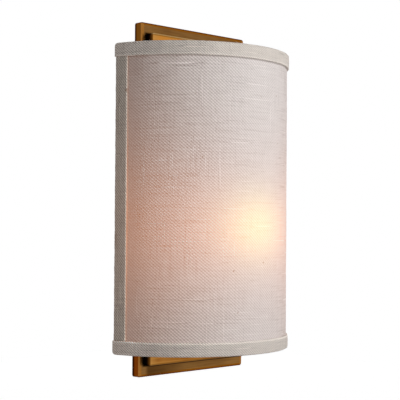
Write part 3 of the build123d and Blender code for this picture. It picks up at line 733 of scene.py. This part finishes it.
def linen(name, tint, contrast, finer, glow_share, core_share, lines, leak=None, taut=False):
    """Linen with its weave in colour and bump, and the lamp's light through it. glow_share and core_share
    say how much of the halo and the core comes through. Each of the lines is a direction on the cloth, a
    distance, a half width and how much lighter the cloth is there. The lamp leaks out along the leak, and
    taut cloth is flattest round the middle of the front."""
    material, shader = surface(name, {"Roughness": 0.85, "Sheen Weight": 0.04, "Emission Strength": 1.0})
    place = add(material, "ShaderNodeTexCoord").outputs["Object"]
    cloth = add(material, "ShaderNodeAttribute", attribute_name="cloth").outputs["Vector"]
    yarn = weave(material, cloth, finer)
    cloth = add(material, "ShaderNodeSeparateXYZ", {0: cloth}).outputs
    aside = maths(material, "ABSOLUTE", cloth["X"])
    # Flatter within 12 mm of the side wires, which stretch it, and within 100 mm of the middle of the front
    if leak:
        stretched = ramp(material, aside, leak[0] - 0.0120, leak[0] - 0.0040, low=1.0, high=0.60)
        yarn = maths(material, "MULTIPLY", yarn, stretched)
    if taut:
        stretched = ramp(material, aside, 0.0, 0.10, low=0.55, high=1.2)
        yarn = maths(material, "MULTIPLY", yarn, stretched)
    tone = maths(material, "MULTIPLY_ADD", yarn, contrast, 1)
    marked = 1.0
    for way, centre, half_width, lighter in lines:
        mark = line(material, cloth[way], centre, half_width)
        mark = maths(material, "MULTIPLY_ADD", mark, lighter, 1)
        marked = maths(material, "MULTIPLY", mark, marked)
    tone = maths(material, "MULTIPLY", tone, marked)
    colour = vector_maths(material, "SCALE", linear(tint)[:3], tone)
    # Sparse flecks of bark, about 1 mm across
    flecks = ramp(material, noise(material, place, 0.0050, 0), 0.85, 0.89, 0.7)
    join(material, blend(material, flecks, colour, linear("8A6A52")), shader.inputs["Base Color"])
    # Thick yarns shine back more of the room's light and let less of the lamp's through
    halo, core = lamp_glow(material, place)
    through = maths(material, "MULTIPLY_ADD", yarn, -0.60 * contrast, 1)
    halo = maths(material, "MULTIPLY", halo, through)
    if leak:
        seam = maths(material, "MULTIPLY_ADD", line(material, aside, *leak), 0.5, 1)
        halo = maths(material, "MULTIPLY", halo, seam)
    lit = []
    for amount, share, code in ((halo, glow_share, "FF974B"), (core, core_share, "657927")):
        light = [share * part for part in linear(code)[:3]]
        lit.append(vector_maths(material, "SCALE", light, amount))
    join(material, vector_maths(material, "ADD", *lit), shader.inputs["Emission Color"])
    lift_surface(material, shader, yarn, 0.00009)
    return material


def cloth_from(piece, along, across):
    """Stores how far along and across the cloth each point lies, in metres, as the attribute cloth."""
    place = np.stack([along, across, 0 * along], -1)
    piece.data.attributes.new("cloth", "FLOAT_VECTOR", "POINT").data.foreach_set("vector", place.ravel())


# A painted shadow darkens the linen in a line under the top strip's hem, the linen is a little darker within
# 30 mm of the side strips' hems, and the lamp shows red along the side strips' hems
strip_width = 0.0138
strip_proud = 0.0013
strip_fold = 0.0009
strip_outer = shade_radius + strip_proud
strip_angle = shade_angle + (strip_fold + glue_line) / shade_radius
hem_along = shade_radius * (strip_angle - strip_width / strip_outer)
hem_across = cover_high.z - strip_width + 0.0010
# Undyed flax: matt, off white and uneven, with yarns that show as dots in diagonal rows.
cover_material = linen(
    "natural_linen", "D5D0CE", 0.31, finer=1.0, glow_share=1.0, core_share=1.0,
    lines=[
        # Painted shadow under the top strip's hem
        ("Y", hem_across - 0.0005, 0.0011, -0.32),
        ("X", hem_along, 0.030, -0.08), ("X", -hem_along, 0.030, -0.08),
    ],
    leak=(hem_along - 0.0006, 0.0011), taut=True,
)
cover_columns = 220
face_angle = np.linspace(-shade_angle, shade_angle, cover_columns)
cover_angle = np.concatenate([face_angle, face_angle[::-1]])[None, :]
cover_outside = np.repeat([1.0, 0.0], cover_columns)[None, :]
cover_z = np.linspace(cover_low.z, cover_high.z, 160)[:, None]
# The laminate lies unevenly by less than a tenth of a millimetre: a sum of slow waves
slack = 0.00004 * (np.sin(61 * cover_z + 5 * cover_angle) + np.sin(23 * cover_angle - 87 * cover_z + 1))
cover_radius = shade_radius - linen_thickness * (1 - cover_outside) + slack * cover_outside
cover_shape = (cover_z.size, cover_angle.size)
cover_grid = round_shade(cover_radius, cover_angle + 0 * cover_z, np.broadcast_to(cover_z, cover_shape))
linen_sheet = skin("linen_sheet", [cover_grid], cover_material)
cloth_from(
    linen_sheet,
    np.broadcast_to(shade_radius * cover_angle, cover_shape),
    np.broadcast_to(cover_z, cover_shape),
)
dressed_as(linen_sheet, "shade", "linen", "linen_cover")


# ---------------------------------------------------------------------------------------------------------
# Trim
# Strips of the same linen, hemmed, folded over the shade's four edges and glued. The top and bottom strips
# lie over the ends of the side strips, and turn in round the wire.

strip_turn_in = 0.0090
wire_diameter = 0.0030
# The strip goes round the linen, the liner and the wire, with a line of glue at each of their faces
strip_inner = strip_outer - strip_proud - linen_thickness - liner_thickness - 4 * glue_line
strip_inner -= wire_diameter + strip_fold
shade_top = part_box("top_trim")[1].z
strip_lap = 0.0006
wander_out = 0.00012
wander_up = 0.00022
wander_round = 0.00030


def rounded(corners, step=0.001, arc_steps=5):
    """Closed outline through corners of (x, y, round). Each corner is an arc of its radius, tangent to both
    of its sides, and the straight runs have points about a step apart."""
    points = np.array([corner[:2] for corner in corners])
    outline = []
    for i, (x, y, radius) in enumerate(corners):
        before, after = points[i - 1] - points[i], points[(i + 1) % len(points)] - points[i]
        before, after = before / np.hypot(*before), after / np.hypot(*after)
        half = math.acos(np.clip(before @ after, -1, 1)) / 2
        centre = points[i] + (before + after) / np.hypot(*(before + after)) * radius / math.sin(half)
        first, last = (points[i] + way * radius / math.tan(half) for way in (before, after))
        turns = np.linspace(0, 1, arc_steps)[:, None]
        chord = first + (last - first) * turns - centre
        outline.append(centre + chord * radius / np.hypot(chord[:, :1], chord[:, 1:]))
    runs = []
    for i, arc in enumerate(outline):
        onward = outline[(i + 1) % len(outline)][0]
        count = max(2, int(np.hypot(*(onward - arc[-1])) / step))
        runs += [arc, arc[-1] + (onward - arc[-1]) * np.linspace(0, 1, count + 1)[1:-1, None]]
    return np.concatenate(runs)


# Radius and depth from the shade's edge, in order from the hidden side of the outer leg
strip_outline = rounded([
    (shade_radius + glue_line, strip_width, 0.00020),
    (strip_outer, strip_width, 0.00100),
    (strip_outer, 0.0, 0.00110),
    (strip_inner, 0.0, 0.00110),
    (strip_inner, strip_turn_in, 0.00040),
    (strip_inner + strip_fold, strip_turn_in, 0.00040),
    (strip_inner + strip_fold, strip_fold + glue_line, 0.00040),
    (shade_radius + glue_line, strip_fold + glue_line, 0.00020),
])
strip_radius, strip_depth = strip_outline[:, 0][None, :], strip_outline[:, 1][None, :]
strip_across = np.cumsum(np.hypot(*np.diff(strip_outline, axis=0, prepend=strip_outline[:1]).T))[None, :]
# How much of each outline point belongs to the outer leg, which is slightly crowned and whose hem wanders
outer_leg = np.clip((strip_radius - shade_radius) / strip_proud, 0, 1)
crown = 0.00022 * outer_leg * np.sin(np.pi * np.clip(strip_depth / strip_width, 0, 1))
hem = outer_leg * np.clip(strip_depth / strip_width, 0, 1)

# Painted highlights lighten the hems, where the yarns stand up and catch the light, painted light lightens
# the top and bottom strips towards their ends, and they are a little darker round the middle of the front.
# The side strips lie over the liner and wire; their linen is a painted shaded copy, a little darker, with
# painted shade at the fold.
trim_material = linen(
    "folded_linen", "D9D1C9", 0.35, finer=1.25, glow_share=0.22, core_share=0.0,
    lines=[
        # Painted highlights on the hems, painted light towards the strips' ends, and darker round the middle
        # of the front
        ("Y", 0.0020, 0.0011, 0.15), ("Y", -0.0020, 0.0012, 0.35),
        ("X", shade_radius * strip_angle, 0.045, 0.30), ("X", -shade_radius * strip_angle, 0.045, 0.30),
        ("X", 0.0, 0.070, -0.08),
    ],
    taut=True,
)
side_material = linen(
    "folded_linen_side", "D5CDC2", 0.46, finer=1.15, glow_share=0.20, core_share=0.0,
    # Painted shade at the fold
    lines=[("Y", 0.0020, 0.0014, -0.04), ("Y", 0.0156, 0.0018, -0.60)],
)


def waver(along, seed):
    """A slow uneven wave, mostly from -1 to 1, as a sum of three sines."""
    slow, middling = np.sin(95 * along + seed), np.sin(211 * along + 2.3 * seed)
    return (slow + middling + 0.6 * np.sin(467 * along + seed)) / 2.6


# The top and bottom strips lie over the side strips, so they stand out further and reach further round
lap_outer = strip_outer + strip_lap
lap_angle = strip_angle + strip_lap / shade_radius
corner_round = 0.0030


def corner_drop(from_end, depth):
    """How far the strip's edge falls away near its ends: r - sqrt(r r - (r - s) (r - s)) for s from the end,
    fading out over 6 mm of depth."""
    short = np.clip(corner_round - from_end, 0, corner_round)
    return (corner_round - np.sqrt(corner_round ** 2 - short ** 2)) * np.clip(1 - depth / 0.006, 0, 1)


def end_flap(side, edge):
    """The strip's end, tucked round the shade's corner: a plate over the end of the rim whose outline
    shrinks by a quarter turn of 0.4 mm towards its face."""
    outline = rounded([
        (strip_inner, strip_width, 0.0004),
        (lap_outer, strip_width, 0.0005),
        (lap_outer, 0.0, 0.0011),
        (strip_inner, 0.0, 0.0011),
    ])
    thickness = np.concatenate([[0], 0.5 + 0.5 * np.sin(np.linspace(0, math.pi / 2, 7))])[:, None]
    shrink = 0.0004 * (1 - np.sqrt(np.clip(1 - (2 * np.clip(thickness, 0.5, 1) - 1) ** 2, 0, 1)))
    centre = outline.mean(0)
    inwards = np.sign(centre - outline) * np.minimum(abs(centre - outline), 1)
    radius = outline[:, 0][None, :] + inwards[:, 0][None, :] * shrink
    depth = outline[:, 1][None, :] + inwards[:, 1][None, :] * shrink
    angle = shade_angle + (lap_angle - shade_angle) * thickness + 0 * radius
    height = edge - side * (depth + corner_drop(shade_radius * (lap_angle - angle), depth))
    return radius, angle, height


for name, side, seed in (("top_trim", 1, 0.4), ("bottom_trim", -1, 2.9)):
    edge = side * shade_top
    angle = np.linspace(-shade_angle, shade_angle, 300)[:, None]
    wander = waver(shade_radius * angle, seed)
    radius = strip_radius + crown + (strip_lap + wander_out * wander) * outer_leg
    drop = corner_drop(shade_radius * (lap_angle - abs(angle)), strip_depth)
    height = edge - side * (strip_depth + wander_up * wander * hem + drop)
    grid = round_shade(radius, angle + 0 * radius, height)
    flap_radius, flap_angle, flap_height = end_flap(side, edge)
    flaps = [round_shade(flap_radius, way * flap_angle, flap_height) for way in (-1, 1)]
    strip = skin(name + "_strip", [grid, *flaps], trim_material)
    along = [shade_radius * angle + 0 * radius] + [way * shade_radius * flap_angle for way in (-1, 1)]
    across = [side * strip_across + 0 * radius, flap_height, flap_height]
    cloth_from(strip, *(np.concatenate([part.ravel() for part in way]) for way in (along, across)))
    dressed_as(strip, "shade", "linen_trim", name)

side_low, side_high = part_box("right_trim")
for name, side, seed in (("left_trim", -1, 1.7), ("right_trim", 1, 4.1)):
    height = np.linspace(side_low.z, side_high.z, 280)[:, None]
    wander = waver(height, seed)
    radius = strip_radius + crown + wander_out * wander * outer_leg
    fold = wander_up * waver(2.7 * height, seed + 1) * np.clip(1 - strip_depth / 0.003, 0, 1)
    angle = side * (strip_angle - (strip_depth + wander_round * wander * hem + fold) / strip_outer)
    grid = round_shade(radius, angle, height + 0 * radius)
    strip = skin(name + "_strip", [grid], side_material)
    cloth_from(strip, (side * height + 0 * radius).ravel(), (strip_across + 0 * radius).ravel())
    dressed_as(strip, "shade", "linen_trim", name)


# ---------------------------------------------------------------------------------------------------------
# Studio
# A pale floor well below the light, a narrow upright soft lamp close in front of it, a wide one behind it on
# either side, and an even white surround. The camera stands at the left front, slightly below the middle.

def seen_directly(material):
    """1 for rays from the camera, off gloss or through glass, and 0 for the rays that light the object."""
    path = add(material, "ShaderNodeLightPath")
    seen = path.outputs["Is Camera Ray"]
    for name in ("Is Glossy Ray", "Is Transmission Ray"):
        seen = maths(material, "MAXIMUM", seen, path.outputs[name])
    return seen


floor_drop = 1.30
floor_half = 8.0
floor_mesh = bpy.data.meshes.new("floor")
floor_signs = ((-1, -1), (1, -1), (1, 1), (-1, 1))
floor_corners = [(floor_half * x, floor_half * y, -floor_drop) for x, y in floor_signs]
floor_mesh.from_pydata(floor_corners, [], [(0, 1, 2, 3)])
floor = bpy.data.objects.new("floor", floor_mesh)
bpy.context.scene.collection.objects.link(floor)
floor_paint, floor_shader = surface("matt_white_floor", {"Base Color": linear("E6E6E6"), "Roughness": 0.9})
floor_glow = maths(floor_paint, "MULTIPLY", seen_directly(floor_paint), 0.80)
floor_glow = add(floor_paint, "ShaderNodeCombineColor", {0: floor_glow, 1: floor_glow, 2: floor_glow})
join(floor_paint, floor_glow.outputs[0], floor_shader.inputs["Emission Color"])
floor_shader.inputs["Emission Strength"].default_value = 1.0
floor_mesh.materials.append(floor_paint)

world = bpy.data.worlds.new("white_surround")
world.use_nodes = True
bpy.context.scene.world = world
ambient = 0.19
sky = world.node_tree.nodes["Background"]
sky.inputs["Color"].default_value = (1, 1, 1, 1)
sky_strength = ramp(world, seen_directly(world), 0.0, 1.0, low=ambient, shape="LINEAR")
join(world, sky_strength, sky.inputs["Strength"])


def soft_lamp(name, azimuth, elevation, distance, width, height, watts):
    """A flat lamp that looks at the light's middle. Azimuth 0 is straight in front, and 90 to the right."""
    lamp = bpy.data.lights.new(name, "AREA")
    lamp.shape = "RECTANGLE"
    lamp.size, lamp.size_y = width, height
    lamp.energy = watts
    side, lift = math.radians(azimuth), math.radians(elevation)
    away = Vector((math.sin(side) * math.cos(lift), -math.cos(side) * math.cos(lift), math.sin(lift)))
    placed = bpy.data.objects.new(name, lamp)
    placed.location = away * distance
    placed.rotation_euler = away.to_track_quat("Z", "Y").to_euler()
    placed.visible_glossy = False
    placed.visible_camera = False
    bpy.context.scene.collection.objects.link(placed)


soft_lamp("key_lamp", 5, 11, 0.64, 0.15, 0.80, 3.08)
soft_lamp("left_lamp", -130, 10, 2.6, 1.2, 1.2, 4.5)
soft_lamp("right_lamp", 135, 20, 2.6, 1.2, 1.2, 22.0)

camera_azimuth = 0.7962
camera_pitch = 0.0226
camera_roll = 0.0067
camera_distance = 1.1422
camera_target = Vector((-0.03199, -0.05000, -0.00049))
forward = Vector((
    math.sin(camera_azimuth) * math.cos(camera_pitch),
    math.cos(camera_azimuth) * math.cos(camera_pitch),
    math.sin(camera_pitch),
))
right = Vector((math.cos(camera_azimuth), -math.sin(camera_azimuth), 0))
up = right.cross(forward)
rolled_right = right * math.cos(camera_roll) + up * math.sin(camera_roll)
rolled_up = up * math.cos(camera_roll) - right * math.sin(camera_roll)
camera_data = bpy.data.cameras.new("camera")
camera_data.lens = 102.73
camera_data.sensor_width = 36.0
camera = bpy.data.objects.new("camera", camera_data)
camera.matrix_world = Matrix.Translation(camera_target - camera_distance * forward) @ Matrix((
    rolled_right, rolled_up, -forward
)).transposed().to_4x4()
bpy.context.scene.collection.objects.link(camera)
bpy.context.scene.camera = camera
bpy.context.scene.view_settings.view_transform = "Standard"
